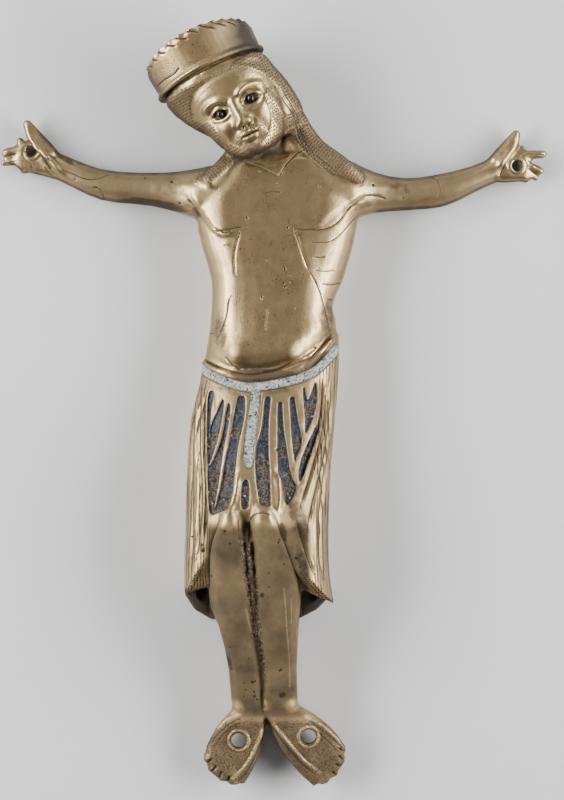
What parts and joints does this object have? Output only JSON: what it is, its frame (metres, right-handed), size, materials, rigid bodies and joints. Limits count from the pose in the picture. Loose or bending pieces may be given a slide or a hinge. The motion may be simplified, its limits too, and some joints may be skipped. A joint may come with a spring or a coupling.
{
  "type": "crucifix corpus figure",
  "caption": "Cast corpus figure for a cross: crowned head leaning to its right, arms spread, knee-length enamelled loincloth, feet side by side, flat back, nail holes in hands and feet.",
  "frame": {"origin": "on the plane of the flat back, under the middle of the figure's outline", "axes": "+Z out of the figure's front, +Y towards its head, +X towards its left hand, which is on the right of someone looking at its front"},
  "size_m": [0.1434, 0.2002, 0.0255],
  "materials": {
    "gilt_copper": "worn gilding over cast copper, with blue and pale enamel in the loincloth's cells",
    "crown_gilt_copper": "worn gilding over bent copper sheet",
    "dark_glass": "polished opaque black glass"
  },
  "bodies": {
    "root": {"corpus": "gilt_copper", "crown": "crown_gilt_copper", "eye_bead_left": "dark_glass", "eye_bead_right": "dark_glass"}
  },
  "joints": []
}
